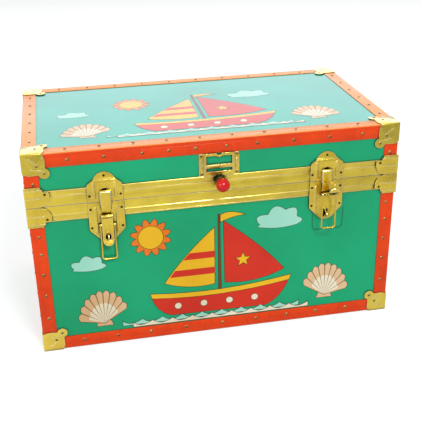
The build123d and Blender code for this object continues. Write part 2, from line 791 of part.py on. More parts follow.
def bail_hanging(x, out, z):
    """The wire bail, hanging from its pin at z: two eyes, two legs that spread and a cross wire."""
    leg_top = (eye_inner + eye_outer) / 2
    leg_foot = leg_top + bail_spread
    foot_z = z - bail_length
    with BuildPart() as piece:
        with BuildLine(front_face.offset(out)) as route:
            FilletPolyline(
                (x - leg_top, z - bail_eye_radius / 2),
                (x - leg_foot, foot_z),
                (x + leg_foot, foot_z),
                (x + leg_top, z - bail_eye_radius / 2),
                radius=bail_corner,
            )
        with BuildSketch(Plane(origin=route.line @ 0, z_dir=route.line % 0)):
            Circle(bail_wire_radius)
        sweep(path=route.line)
        for side in (-1, 1):
            near, far = sorted((x + side * eye_inner, x + side * eye_outer))
            x_cylinder(bail_eye_radius, near, far, out, z)
            x_cylinder(bail_pin_radius + running_gap, near, far, out, z, Mode.SUBTRACT)
    return piece


def bail_pin(x, out, z):
    """The headed pin through the lever's sides and the bail's eyes."""
    end = eye_outer + bail_side_gap / 2
    with BuildPart() as piece:
        x_cylinder(bail_pin_radius, x - end, x + end, out, z)
        x_cylinder(pin_head_radius, x - end - pin_head_thickness, x - end, out, z)
        x_cylinder(pin_head_radius, x + end, x + end + pin_head_thickness, out, z)
    return piece


with BuildPart() as lever_pins:
    for x in (-latch_x, latch_x):
        x_cylinder(lever_pin_radius, x - lever_half, x + lever_half, lever_pin_out, lever_pin_z)
save(lever_pins, "lever_pins")

for side_name, x, lift in (("left", -latch_x, left_lift), ("right", latch_x, right_lift)):
    lever_axis = Axis((x, front_y - lever_pin_out, lever_pin_z), (-1, 0, 0))
    closed_lever = lever_down(x)
    with BuildPart() as lever:
        add(closed_lever.part.rotate(lever_axis, lift))
    turn = radians(lift)
    back_off = bail_pin_out - lever_pin_out
    pin_out = lever_pin_out + back_off * cos(turn) + bail_pin_at * sin(turn)
    pin_z = lever_pin_z + back_off * sin(turn) - bail_pin_at * cos(turn)
    save(keeper(x), f"keeper_{side_name}")
    save(base(x), f"latch_base_{side_name}")
    save(lever, f"lever_{side_name}")
    save(bail_pin(x, pin_out, pin_z), f"bail_pin_{side_name}")
    save(bail_hanging(x, pin_out, pin_z), f"bail_{side_name}")

# ---------------------------------------------------------------- card holder
card_low = joint_height + strip_height + fit_gap
card_high = height - cap_thickness - binding_width - fit_gap
card_height = card_high - card_low
card_half = card_width / 2
frame_half = card_half - card_flange
window_half_width = frame_half - card_border
lower_window = card_low + card_foot
bar_low = lower_window + card_lower_window
upper_window = bar_low + card_bar
upper_top = card_high - card_head

with BuildPart() as card_holder:
    with BuildSketch(front_face):
        with Locations((card_centre, (card_low + card_high) / 2)):
            Rectangle(card_width, card_height)
            Rectangle(2 * (frame_half - card_sheet), card_height, mode=Mode.SUBTRACT)
    extrude(amount=card_sheet)
    with BuildSketch(front_face):
        with Locations((card_centre, (card_low + card_high) / 2)):
            Rectangle(2 * frame_half, card_height)
            with Locations((0, card_sheet)):
                Rectangle(2 * (frame_half - card_sheet), card_height, mode=Mode.SUBTRACT)
    extrude(amount=card_room)
    with BuildSketch(front_face.offset(card_room)):
        with Locations((card_centre, (card_low + card_high) / 2)):
            Rectangle(2 * frame_half, card_height)
        for low, high in ((lower_window, bar_low), (upper_window, upper_top)):
            with Locations((card_centre, (low + high) / 2)):
                Rectangle(2 * window_half_width, high - low, mode=Mode.SUBTRACT)
        with BuildLine():
            Polyline(
                (card_centre - card_notch_half, upper_top),
                (card_centre, upper_top - card_notch_dip),
                (card_centre + card_notch_half, upper_top),
                close=True,
            )
        make_face()
        with Locations((card_centre, card_high + card_notch_rise)):
            Circle(card_notch_radius, mode=Mode.SUBTRACT)
    extrude(amount=card_sheet)
    with BuildSketch(front_face.offset(card_room + card_sheet)):
        with Locations((card_centre, (bar_low + upper_window) / 2)):
            Rectangle(2 * window_half_width + card_border, card_bar_bead)
    extrude(amount=card_bead_rise)
    with BuildSketch(front_face.offset(card_sheet)):
        flange_mid = card_half - card_flange / 2
        for side in (-1, 1):
            with Locations((card_centre + side * flange_mid, (card_low + card_high) / 2)):
                Rectangle(card_bead_width, card_bead_height)
                Rectangle(card_bead_slot, card_bead_height - card_bead_slot, mode=Mode.SUBTRACT)
    extrude(amount=card_bead_rise)
save(card_holder, "card_holder")

# ---------------------------------------------------------------- knob
knob_axis_face = Plane(origin=(knob_x, front_y, knob_z), x_dir=(1, 0, 0), z_dir=(0, -1, 0))

with BuildPart() as knob_collar:
    for radius, start, end in (
        (collar_foot_radius, 0, collar_step),
        (collar_radius, collar_step, knob_seat_out),
    ):
        with BuildSketch(knob_axis_face.offset(start)):
            Circle(radius)
        extrude(amount=end - start)
    with BuildSketch(knob_axis_face):
        Circle(bolt_radius + running_gap)
    extrude(amount=knob_seat_out, mode=Mode.SUBTRACT)
save(knob_collar, "knob_collar")

with BuildPart() as knob_ball:
    with Locations(knob_axis_face.offset(knob_ball_out)):
        Sphere(knob_ball_radius)
    split(bisect_by=knob_axis_face.offset(knob_seat_out), keep=Keep.TOP)
    with BuildSketch(knob_axis_face.offset(knob_seat_out)):
        Circle(bolt_radius)
    extrude(amount=bolt_grip, mode=Mode.SUBTRACT)
save(knob_ball, "knob_ball")

bolt_head_back = tin_thickness + board_thickness + bolt_head_height
with BuildPart() as knob_bolt:
    with BuildSketch(knob_axis_face.offset(-bolt_head_back)):
        Circle(bolt_head_radius)
    extrude(amount=bolt_head_height)
    with BuildSketch(knob_axis_face.offset(-bolt_head_back)):
        Circle(bolt_radius)
    extrude(amount=bolt_head_back + knob_seat_out + bolt_grip)
save(knob_bolt, "knob_bolt")

# ---------------------------------------------------------------- back hinges
hinge_x = width / 2 - hinge_inset
hinge_y = back_y + hinge_axis_out
leaf_gap = hinge_knuckle_radius + knuckle_clear


def leaf(x, up):
    """One leaf; the lower keeps the two outer knuckles and the upper the middle one with its stop."""
    middle = middle_knuckle / 2 - knuckle_end_gap / 2
    outer = middle_knuckle / 2 + knuckle_end_gap / 2
    half = leaf_width / 2
    plate_z = joint_height + up * (leaf_gap + leaf_height / 2)
    with BuildPart() as piece:
        with BuildSketch(back_face):
            with Locations((-x, plate_z)):
                RectangleRounded(leaf_width, leaf_height, leaf_corner)
        extrude(amount=leaf_thickness)
        if up > 0:
            spans = ((x - middle, x + middle),)
        else:
            spans = ((x - half, x - outer), (x + outer, x + half))
        for near, far in spans:
            low, high = sorted((joint_height, plate_z))
            slab((near, back_y, low), (far, back_y + leaf_thickness, high))
            x_cylinder(hinge_knuckle_radius, near, far, 0, joint_height, y=hinge_y)
        if up > 0:
            slab(
                (x - stop_half, hinge_y, joint_height - stop_thickness / 2),
                (x + stop_half, hinge_y + stop_length, joint_height + stop_thickness / 2),
            )
        bore = hinge_pin_radius + (running_gap if up > 0 else 0)
        x_cylinder(bore, x - half, x + half, 0, joint_height, Mode.SUBTRACT, y=hinge_y)
    return piece


for name, up in (("hinge_leaves_upper", 1), ("hinge_leaves_lower", -1)):
    pair = [leaf(x, up) for x in (-hinge_x, hinge_x)]
    with BuildPart() as leaves:
        add([side.part for side in pair])
    save(leaves, name)

with BuildPart() as hinge_pins:
    for x in (-hinge_x, hinge_x):
        near, far = x - leaf_width / 2, x + leaf_width / 2
        x_cylinder(hinge_pin_radius, near, far, 0, joint_height, y=hinge_y)
save(hinge_pins, "hinge_pins")


# ---------------------------------------------------------------- nails
def domed_nail(head_radius, head_height, shank_radius, length):
    """A nail along Z with the underside of its domed head at 0."""
    dome = (head_radius**2 + head_height**2) / (2 * head_height)
    half_turn = asin(head_radius / dome) / 2
    middle = (dome * sin(half_turn), head_height - dome + dome * cos(half_turn))
    with BuildPart() as nail:
        with BuildSketch(Plane.XZ):
            with BuildLine():
                ThreePointArc((head_radius, 0), middle, (0, head_height))
                Polyline(
                    (0, head_height), (0, -length), (shank_radius, -length), (shank_radius, 0),
                    (head_radius, 0),
                )
            make_face()
        revolve(axis=Axis.Z)
    return nail


nail = domed_nail(nail_head_radius, nail_head_height, nail_shank_radius, nail_length)
tack = domed_nail(tack_head_radius, tack_head_height, tack_shank_radius, tack_length)
cap_nail = domed_nail(cap_nail_radius, tack_head_height, nail_shank_radius, nail_length)


def drive(places):
    """Nails at the places, each a kind of nail, a face, a height off it and the points on it."""
    with BuildPart() as group:
        for kind, face, seat, points in places:
            with Locations(face.offset(seat)):
                with Locations(*points):
                    add(kind.part, clean=False)
    return group


half_depth = depth / 2
walls = (
    (front_face, width / 2, first_nail),
    (back_face, width / 2, first_nail),
    (left_face, half_depth, first_side_nail),
    (right_face, half_depth, first_side_nail),
)
cap_seat = cap_thickness + binding_thickness
post_u = cap_thickness + nail_inset
row_low, row_high = post_u, height - post_u
ear_nail = (ear_at, ear_at)
cap_nails = ((cap_nail_u, cap_nail_v), ear_nail)

post_low = ear_at + cap_ear_radius + post_margin
post_high = joint_height - clamp_rise - post_margin
post_zs = by_hand(spread(post_low, post_high, post_pitch), post_nail_drifts)

body_places, lid_places = [], []
for face, half, first in walls:
    low_us = by_hand(spread(first - half, half - first, base_pitch), base_nail_drifts)
    high_us = by_hand(spread(first - half, half - first, lid_pitch), lid_nail_drifts)
    low_row = [(u, row_low) for u in low_us]
    high_row = [(u, row_high) for u in high_us]
    posts = [(s * (half - post_u), z) for s in (-1, 1) for z in post_zs]
    lid_post_z = joint_height + clamp_rise + lid_post_margin
    lid_posts = [(s * (half - post_u), lid_post_z) for s in (-1, 1)]
    low_caps = [(s * (half - u), v) for s in (-1, 1) for u, v in cap_nails]
    high_caps = [(s * (half - u), height - v) for s in (-1, 1) for u, v in cap_nails]
    body_places += [
        (nail, face, binding_thickness, low_row + posts),
        (cap_nail, face, cap_seat, low_caps),
    ]
    lid_places += [
        (nail, face, binding_thickness, high_row + lid_posts),
        (cap_nail, face, cap_seat, high_caps),
    ]

top_rows = [
    (u, s * (half_depth - post_u))
    for s in (-1, 1)
    for u in spread(first_nail - width / 2, width / 2 - first_nail, lid_pitch)
]
top_columns = [
    (s * (width / 2 - post_u), v)
    for s in (-1, 1)
    for v in spread(first_side_nail - half_depth, half_depth - first_side_nail, lid_pitch)
]
top_caps = [
    (s * (width / 2 - u), t * (half_depth - v)) for s in (-1, 1) for t in (-1, 1) for u, v in cap_nails
]
card_nails = [
    (card_centre + s * (card_half - card_rivet_inset), z)
    for s in (-1, 1)
    for z in (card_low + card_rivet_inset, card_high - card_rivet_inset)
]
lid_places += [
    (nail, top_face, binding_thickness, top_rows + top_columns),
    (cap_nail, top_face, cap_seat, top_caps),
    (cap_nail, front_face, card_sheet, card_nails),
]
save(drive(body_places), "body_nails")
save(drive(lid_places), "lid_nails")

# Small dark tacks hold the latch plates, the clamps and the hinge leaves.
body_tacks, lid_tacks = [], []
plate_tack_x = base_half - plate_tack_inset
for x in (-latch_x, latch_x):
    keeper_z = joint_height + keeper_tack_rise
    crown_z = joint_height + keeper_top_tack_rise
    lid_tacks += [
        (tack, front_face, plate_face, [(x - plate_tack_x, keeper_z), (x + plate_tack_x, keeper_z)]),
        (tack, front_face, plate_thickness, [(x, crown_z)]),
    ]
    base_zs = [joint_height - drop for drop in base_tack_drops]
    base_points = [(x + s * plate_tack_x, z) for s in (-1, 1) for z in base_zs]
    body_tacks.append((tack, front_face, plate_face, base_points))

for up, tacks in ((1, lid_tacks), (-1, body_tacks)):
    tack_z = joint_height + up * clamp_tack_v
    long_ends = [(s * (width / 2 - clamp_tack_u), tack_z) for s in (-1, 1)]
    side_ends = [(s * (half_depth - clamp_tack_u), tack_z) for s in (-1, 1)]
    back_ends = [(s * (width / 2 - post_u), tack_z) for s in (-1, 1)]
    tacks += [
        (tack, front_face, clamp_face, long_ends),
        (tack, left_face, clamp_face, side_ends),
        (tack, right_face, clamp_face, side_ends),
        (tack, back_face, clamp_face, back_ends),
    ]
    leaf_middle = joint_height + up * (leaf_gap + leaf_height / 2)
    leaf_points = [
        (x + s * leaf_rivet_side, leaf_middle + t * leaf_rivet_rise / 2)
        for x in (-hinge_x, hinge_x)
        for s in (-1, 1)
        for t in (-1, 1)
    ]
    tacks.append((tack, back_face, leaf_thickness, leaf_points))
save(drive(body_tacks), "body_tacks")
save(drive(lid_tacks), "lid_tacks")

print("box stands", round(box_y, 2), "mm behind the origin; pieces saved", len(os.listdir("parts")))
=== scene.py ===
# %% [markdown]
# # Small tin trunk
# The frame of this scene is a finished engineering model: boards, tin, bindings, latches and nails,
# each a mesh of its own that already stands in its place. We load it first and keep its size, because
# everything we add has to stay inside it. What we add is looks: softened metal edges, paint, brass
# and a printed decoration.

# %% Load the frame and note its size
import json
import math

import bpy
from mathutils import Matrix, Vector

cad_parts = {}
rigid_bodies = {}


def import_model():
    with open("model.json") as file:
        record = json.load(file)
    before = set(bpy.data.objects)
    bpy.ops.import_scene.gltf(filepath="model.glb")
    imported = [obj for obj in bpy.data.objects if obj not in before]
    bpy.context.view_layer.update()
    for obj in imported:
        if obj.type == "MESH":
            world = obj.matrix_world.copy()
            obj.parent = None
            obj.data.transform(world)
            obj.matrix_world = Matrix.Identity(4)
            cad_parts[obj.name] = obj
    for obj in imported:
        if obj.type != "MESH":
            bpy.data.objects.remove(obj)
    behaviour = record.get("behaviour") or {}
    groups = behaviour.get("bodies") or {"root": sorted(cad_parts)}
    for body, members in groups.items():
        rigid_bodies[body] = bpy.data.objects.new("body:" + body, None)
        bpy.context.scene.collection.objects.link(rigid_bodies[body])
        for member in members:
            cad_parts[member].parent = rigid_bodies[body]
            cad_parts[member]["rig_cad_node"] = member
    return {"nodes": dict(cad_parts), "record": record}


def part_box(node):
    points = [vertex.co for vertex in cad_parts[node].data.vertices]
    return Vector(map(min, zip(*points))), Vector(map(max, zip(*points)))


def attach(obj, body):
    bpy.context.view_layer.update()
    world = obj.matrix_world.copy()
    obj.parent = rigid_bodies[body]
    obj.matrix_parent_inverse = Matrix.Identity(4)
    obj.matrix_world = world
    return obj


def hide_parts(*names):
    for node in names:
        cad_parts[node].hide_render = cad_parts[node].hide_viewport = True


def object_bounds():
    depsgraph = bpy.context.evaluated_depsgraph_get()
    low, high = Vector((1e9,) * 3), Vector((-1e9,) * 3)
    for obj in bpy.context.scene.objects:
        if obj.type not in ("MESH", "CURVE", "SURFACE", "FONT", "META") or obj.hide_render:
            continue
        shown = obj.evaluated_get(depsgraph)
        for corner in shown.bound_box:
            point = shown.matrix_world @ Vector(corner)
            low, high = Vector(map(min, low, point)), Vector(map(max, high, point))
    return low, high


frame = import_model()
nodes = frame["nodes"]
record = frame["record"]
cad_box = [list(corner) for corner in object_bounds()]
mm = 0.001
print("frame:", len(nodes), "pieces, box", [[round(v, 4) for v in c] for c in cad_box])

# %% [markdown]
# Metal pieces come in families: the bindings are one finish, the stamped brass another. We sort the
# frame's pieces by their names, so that a finish can be handed to a whole family at once.

# %% Sort the pieces into families


def family(*words):
    """The frame's pieces whose names hold one of the words."""
    return sorted(name for name in nodes if any(word in name for word in words))


tins = family("_tin")
bindings = family("binding")
upper_caps, lower_caps = family("cap_top"), family("cap_bottom")
strips = family("strip")
clamps = family("clamps")
latch_plates = family("keeper_", "latch_base_")
levers = ["lever_left", "lever_right"]
bails = ["bail_left", "bail_right"]
hinge_leaves = family("hinge_leaves")
boards = family("_board")
print(len(upper_caps + lower_caps), "caps,", len(bindings), "bindings,", len(boards), "boards")

# %% [markdown]
# Pressed and folded sheet never has a truly sharp edge, and the thin bright line along each edge is
# what makes metal look like metal. So every visible metal piece gets a softened copy: the frame's
# loose triangles are merged, flat areas become single faces again, and a Bevel modifier rounds every
# edge sharper than 30 degrees by a few tenths of a millimetre. The copy rides on the same body and
# stands for the frame's piece.

# %% Soften the metal edges
body_of_node = {name: body for body, names in record["behaviour"]["bodies"].items() for name in names}
merge_distance = 0.01 * mm
same_plane = math.radians(1.0)
sharp_edge = math.radians(30.0)
smooth_below = math.radians(35.0)
finished = {}


def soften(name, width):
    """A copy of a frame piece with edges rounded to a width in millimetres."""
    bpy.ops.object.select_all(action="DESELECT")
    source = nodes[name]
    source.select_set(True)
    bpy.context.view_layer.objects.active = source
    bpy.ops.object.duplicate()
    piece = bpy.context.object
    piece.name = f"{name}_softened"
    del piece["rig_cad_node"]
    bpy.ops.object.mode_set(mode="EDIT")
    bpy.ops.mesh.select_all(action="SELECT")
    bpy.ops.mesh.remove_doubles(threshold=merge_distance)
    bpy.ops.mesh.dissolve_limited(angle_limit=same_plane)
    bpy.ops.object.mode_set(mode="OBJECT")
    rounding = piece.modifiers.new("rounding", "BEVEL")
    rounding.width = width * mm
    rounding.segments = 2
    rounding.limit_method = "ANGLE"
    rounding.angle_limit = sharp_edge
    bpy.ops.object.modifier_apply(modifier="rounding")
    bpy.ops.object.shade_smooth_by_angle(angle=smooth_below)
    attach(piece, body_of_node[name])
    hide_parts(name)
    finished[name] = piece
    return len(piece.data.polygons)


roundings = (
    (upper_caps + lower_caps, 0.4),
    (bindings, 0.3),
    (strips, 0.2),
    (clamps, 0.3),
    (latch_plates, 0.3),
    (levers, 0.3),
    (bails, 0.15),
    (hinge_leaves, 0.3),
    (["card_holder"], 0.25),
    (["knob_collar"], 0.6),
)
for names, width in roundings:
    faces = [soften(name, width) for name in names]
    print("softened", names[0], "and", len(names) - 1, "more by", width, "mm, faces", sum(faces))

# %% [markdown]
# Every finish is built from nodes. One small function adds a node with its settings and its links,
# which keeps each material short enough to read. Colours are written as the hex numbers a painter's
# program shows, and turned to the linear values that the renderer works with.

# %% Helpers for materials


def linear(hex_colour):
    """An sRGB hex colour as linear red, green, blue and alpha, by the sRGB curve."""
    parts = [int(hex_colour[i : i + 2], 16) / 255 for i in (0, 2, 4)]
    return [c / 12.92 if c <= 0.04045 else ((c + 0.055) / 1.055) ** 2.4 for c in parts] + [1.0]


def set_stops(elements, stops):
    """Fills a colour ramp; a stop is a position with a hex colour or a grey from 0 to 1."""
    while len(elements) < len(stops):
        elements.new(0.5)
    for element, (position, colour) in zip(elements, stops):
        element.position = position
        is_grey = isinstance(colour, float)
        element.color = [colour, colour, colour, 1.0] if is_grey else linear(colour)


def add(material, kind, settings=None, links=None):
    """Adds a node. Settings name a socket or a property; links name a socket and its source."""
    node = material.node_tree.nodes.new(kind)
    for name, value in (settings or {}).items():
        if name == "stops":
            set_stops(node.color_ramp.elements, value)
        elif isinstance(name, int) or name in node.inputs:
            node.inputs[name].default_value = value
        else:
            setattr(node, name, value)
    for name, (source, output) in (links or {}).items():
        material.node_tree.links.new(source.outputs[output], node.inputs[name])
    return node


def start_material(name):
    """A new node material, emptied, with its coordinates node."""
    material = bpy.data.materials.new(name)
    material.use_nodes = True
    material.node_tree.nodes.clear()
    return material, add(material, "ShaderNodeTexCoord")


def cover(names, material):
    """Gives one material to whole pieces, and to their softened copies."""
    for name in names:
        for piece in (nodes[name], finished.get(name)):
            if piece:
                piece.data.materials.clear()
                piece.data.materials.append(material)
    print(material.name, "on", len(names), "pieces")


print("mid grey as linear light:", round(linear("808080")[0], 3))


# %% [markdown]
# The panels are tinplate with a stoved enamel. Enamel is a smooth gloss paint: it hides the metal, so the
# shader is not metallic. What makes it look real is a clear and slightly wavy reflection, a faint drift
# in colour, a few fine rubs and painted shade: the colour is darkened within 7 mm of every fitting, where
# shade falls. Noise 180 mm across gives the drift, noise of 6 mm the waviness, and noise of 12 by 2 mm
# the rubs.

# %% Enamelled tinplate


def enamel(name, base, deep, rubbed, roughness=0.16, rub_amount=0.3, gloss_level=0.3):
    """A gloss paint that drifts in colour, with fine rubs and painted shade in the corners."""
    material, place = start_material(name)
    drift = add(
        material, "ShaderNodeTexNoise", {"Scale": 5.5, "Detail": 3.0}, {"Vector": (place, "Object")}
    )
    body = add(
        material, "ShaderNodeValToRGB", {"stops": [(0.35, deep), (0.65, base)]}, {"Fac": (drift, "Fac")}
    )
    stretch = add(
        material, "ShaderNodeMapping", {"Scale": (6.0, 40.0, 40.0)}, {"Vector": (place, "Object")}
    )
    rubs = add(
        material,
        "ShaderNodeTexNoise",
        {"Scale": 14.0, "Detail": 8.0, "Roughness": 0.72},
        {"Vector": (stretch, "Vector")},
    )
    rub_mask = add(
        material,
        "ShaderNodeValToRGB",
        {"stops": [(0.62, 0.0), (0.74, rub_amount)]},
        {"Fac": (rubs, "Fac")},
    )
    worn = add(
        material,
        "ShaderNodeMixRGB",
        {"Color2": linear(rubbed)},
        {"Fac": (rub_mask, "Color"), "Color1": (body, "Color")},
    )
    # Painted shade: the colour is darkened within 7 mm of other surfaces, as if shade fell there.
    corner = add(material, "ShaderNodeAmbientOcclusion", {"samples": 8, "Distance": 7 * mm})
    painted_corner_shade = add(
        material,
        "ShaderNodeValToRGB",
        {"stops": [(0.45, "5E5A4C"), (0.9, "FFFFFF")]},
        {"Fac": (corner, "AO")},
    )
    colour = add(
        material,
        "ShaderNodeMixRGB",
        {"blend_type": "MULTIPLY", "Fac": 1.0},
        {"Color1": (worn, "Color"), "Color2": (painted_corner_shade, "Color")},
    )
    gloss = add(
        material,
        "ShaderNodeMapRange",
        {"To Min": roughness, "To Max": roughness + 0.3},
        {"Value": (rub_mask, "Color")},
    )
    wave = add(
        material, "ShaderNodeTexNoise", {"Scale": 160.0, "Detail": 2.0}, {"Vector": (place, "Object")}
    )
    bump = add(
        material,
        "ShaderNodeBump",
        {"Strength": 0.04, "Distance": 0.4 * mm},
        {"Height": (wave, "Fac")},
    )
    shader = add(
        material,
        "ShaderNodeBsdfPrincipled",
        {"IOR": 1.5, "Specular IOR Level": gloss_level},
        {
            "Base Color": (colour, "Color"),
            "Roughness": (gloss, "Result"),
            "Normal": (bump, "Normal"),
        },
    )
    add(material, "ShaderNodeOutputMaterial", links={"Surface": (shader, "BSDF")})
    return material


green_enamel = enamel("stoved_green_enamel", "0CA873", "089A67", "5FC4A0")
lid_enamel = enamel("stoved_sea_green_enamel", "1FAF98", "18A08A", "7CD0BE")
cover(tins, green_enamel)
cover(["lid_top_tin"], lid_enamel)

# %% [markdown]
# The bindings are folded strips of the same thin sheet, lacquered orange. They take the knocks, so their
# paint is a little duller than the panels', with small chips and a brown painted shade in the folds.
# Where they lie on top of the lid their colour is painted paler, a painted sheen for the light they
# reflect there. The colour's mottle is 33 mm across, the dents are 22 mm and the chips 4 mm.

# %% Lacquered bindings
# The top 2.2 mm of the lid's bindings are painted paler: a painted sheen for the light reflected there.
lid_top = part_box("lid_binding_front")[1].z
top_sheen_start = lid_top - 2.2 * mm
top_sheen_full = lid_top - 0.6 * mm


def lacquer(name, base, deep, top_sheen_colour, worn):
    """A knocked paint, painted paler at the lid's top as a painted sheen, with chips, dents and painted
    shade in the folds.
    """
    material, place = start_material(name)
    mottle = add(
        material, "ShaderNodeTexNoise", {"Scale": 30.0, "Detail": 6.0}, {"Vector": (place, "Object")}
    )
    body = add(
        material, "ShaderNodeValToRGB", {"stops": [(0.32, deep), (0.68, base)]}, {"Fac": (mottle, "Fac")}
    )
    height = add(material, "ShaderNodeSeparateXYZ", links={"Vector": (place, "Object")})
    top_sheen_mask = add(
        material,
        "ShaderNodeMapRange",
        {"From Min": top_sheen_start, "From Max": top_sheen_full},
        {"Value": (height, "Z")},
    )
    with_top_sheen = add(
        material,
        "ShaderNodeMixRGB",
        {"Color2": linear(top_sheen_colour)},
        {"Fac": (top_sheen_mask, "Result"), "Color1": (body, "Color")},
    )
    grit = add(
        material,
        "ShaderNodeTexNoise",
        {"Scale": 260.0, "Detail": 4.0, "Roughness": 0.7},
        {"Vector": (place, "Object")},
    )
    chips = add(
        material, "ShaderNodeValToRGB", {"stops": [(0.66, 0.0), (0.72, 0.7)]}, {"Fac": (grit, "Fac")}
    )
    chipped = add(
        material,
        "ShaderNodeMixRGB",
        {"Color2": linear(worn)},
        {"Fac": (chips, "Color"), "Color1": (with_top_sheen, "Color")},
    )
    # Painted shade: enclosed points are darkened towards brown, as if shade fell there.
    corner = add(material, "ShaderNodeAmbientOcclusion", {"samples": 8, "Distance": 5 * mm})
    painted_corner_shade = add(
        material,
        "ShaderNodeValToRGB",
        {"stops": [(0.4, "6A4A38"), (0.8, "FFFFFF")]},
        {"Fac": (corner, "AO")},
    )
    colour = add(
        material,
        "ShaderNodeMixRGB",
        {"blend_type": "MULTIPLY", "Fac": 1.0},
        {"Color1": (chipped, "Color"), "Color2": (painted_corner_shade, "Color")},
    )
    gloss = add(
        material, "ShaderNodeMapRange", {"To Min": 0.2, "To Max": 0.36}, {"Value": (mottle, "Fac")}
    )
    dents = add(
        material, "ShaderNodeTexNoise", {"Scale": 45.0, "Detail": 1.0}, {"Vector": (place, "Object")}
    )
    dent_bump = add(
        material, "ShaderNodeBump", {"Strength": 0.3, "Distance": 0.8 * mm}, {"Height": (dents, "Fac")}
    )
    bump = add(
        material,
        "ShaderNodeBump",
        {"Strength": 0.08, "Distance": 0.3 * mm},
        {"Height": (grit, "Fac"), "Normal": (dent_bump, "Normal")},
    )
    shader = add(
        material,
        "ShaderNodeBsdfPrincipled",
        {"IOR": 1.5, "Specular IOR Level": 0.3},
        {
            "Base Color": (colour, "Color"),
            "Roughness": (gloss, "Result"),
            "Normal": (bump, "Normal"),
        },
    )
    add(material, "ShaderNodeOutputMaterial", links={"Surface": (shader, "BSDF")})
    return material


orange_lacquer = lacquer("orange_lacquered_sheet", "E84402", "D83A02", "F79A50", "F2A468")
cover(bindings, orange_lacquer)

# %% [markdown]
# All the yellow fittings are brass-plated steel, rolled and stamped, under a clear lacquer. Their edges
# get a painted highlight: the material finds them where a rounded normal leaves the true one and paints
# them pale. Plating is thin and bright: the metal mirrors its surroundings in gold, with fine lines left
# by the rolls, a light tarnish of patches 4 cm wide, and a brown painted shade in every corner. The
# shader is fully metallic, the lacquer is its coat, and the painted shade comes from how enclosed a point
# is. The strips' lines are noise of 17 mm, squeezed to 1 mm across them, and stamped pieces have an even
# noise of 6 mm.

# %% Plated brass
# The width and the colour of the painted highlight along the edges.
highlight_rim_width = 1.0 * mm
highlight_rim_colour = "FFF6C4"


# In brass, rubbed sets how strongly the edges are painted pale as a highlight.
def brass(
    name, base, tarnish, roughness, line_stretch, lacquered=1.0, corner_shade_colour="3A2C0C", rubbed=0.85
):
    """A plated metal with fine lines, a painted highlight on its rims and painted shade in the corners.
    """
    material, place = start_material(name)
    patches = add(
        material, "ShaderNodeTexNoise", {"Scale": 24.0, "Detail": 5.0}, {"Vector": (place, "Object")}
    )
    tone = add(
        material,
        "ShaderNodeValToRGB",
        {"stops": [(0.3, tarnish), (0.6, base)]},
        {"Fac": (patches, "Fac")},
    )
    # Painted highlight: where the rounded normal leaves the true one, the colour is mixed towards a pale
    # cream.
    turned = add(material, "ShaderNodeBevel", {"samples": 8, "Radius": highlight_rim_width})
    flat = add(material, "ShaderNodeNewGeometry")
    apart = add(
        material,
        "ShaderNodeVectorMath",
        {"operation": "DISTANCE"},
        {0: (turned, "Normal"), 1: (flat, "Normal")},
    )
    rim_highlight_mask = add(
        material,
        "ShaderNodeMapRange",
        {"From Min": 0.08, "From Max": 0.36, "To Max": rubbed},
        {"Value": (apart, "Value")},
    )
    rim_highlighted = add(
        material,
        "ShaderNodeMixRGB",
        {"Color2": linear(highlight_rim_colour)},
        {"Fac": (rim_highlight_mask, "Result"), "Color1": (tone, "Color")},
    )
    # Painted shade: enclosed points are mixed towards a dark colour, as if shade fell there.
    corner = add(material, "ShaderNodeAmbientOcclusion", {"samples": 8, "Distance": 7 * mm})
    corner_shade_mask = add(
        material, "ShaderNodeValToRGB", {"stops": [(0.42, 1.0), (0.86, 0.0)]}, {"Fac": (corner, "AO")}
    )
    colour = add(
        material,
        "ShaderNodeMixRGB",
        {"Color2": linear(corner_shade_colour)},
        {"Fac": (corner_shade_mask, "Color"), "Color1": (rim_highlighted, "Color")},
    )
    stretch = add(
        material, "ShaderNodeMapping", {"Scale": line_stretch}, {"Vector": (place, "Object")}
    )
    lines = add(
        material,
        "ShaderNodeTexNoise",
        {"Scale": 60.0, "Detail": 6.0, "Roughness": 0.65},
        {"Vector": (stretch, "Vector")},
    )
    gloss = add(
        material,
        "ShaderNodeMapRange",
        {"From Min": 0.3, "From Max": 0.7, "To Min": roughness - 0.06, "To Max": roughness + 0.1},
        {"Value": (lines, "Fac")},
    )
    wobble = add(
        material, "ShaderNodeTexNoise", {"Scale": 55.0, "Detail": 1.0}, {"Vector": (place, "Object")}
    )
    wobble_bump = add(
        material, "ShaderNodeBump", {"Strength": 0.35, "Distance": 0.8 * mm}, {"Height": (wobble, "Fac")}
    )
    bump = add(
        material,
        "ShaderNodeBump",
        {"Strength": 0.1, "Distance": 0.2 * mm},
        {"Height": (lines, "Fac"), "Normal": (wobble_bump, "Normal")},
    )
    shader = add(
        material,
        "ShaderNodeBsdfPrincipled",
        {"Metallic": 1.0, "Coat Weight": lacquered, "Coat Roughness": 0.18},
        {
            "Base Color": (colour, "Color"),
            "Roughness": (gloss, "Result"),
            "Normal": (bump, "Normal"),
        },
    )
    add(material, "ShaderNodeOutputMaterial", links={"Surface": (shader, "BSDF")})
    return material


even = (3.0, 3.0, 3.0)
level_lines = (1.0, 1.0, 14.0)
rolled_brass = brass("rolled_plated_brass", "EAD03A", "D4B62E", 0.3, level_lines)
stamped_brass = brass("stamped_plated_brass", "E8CA36", "CAAA28", 0.26, even)
dull_brass = brass("tarnished_cap_brass", "D0B82E", "AC9620", 0.3, even)
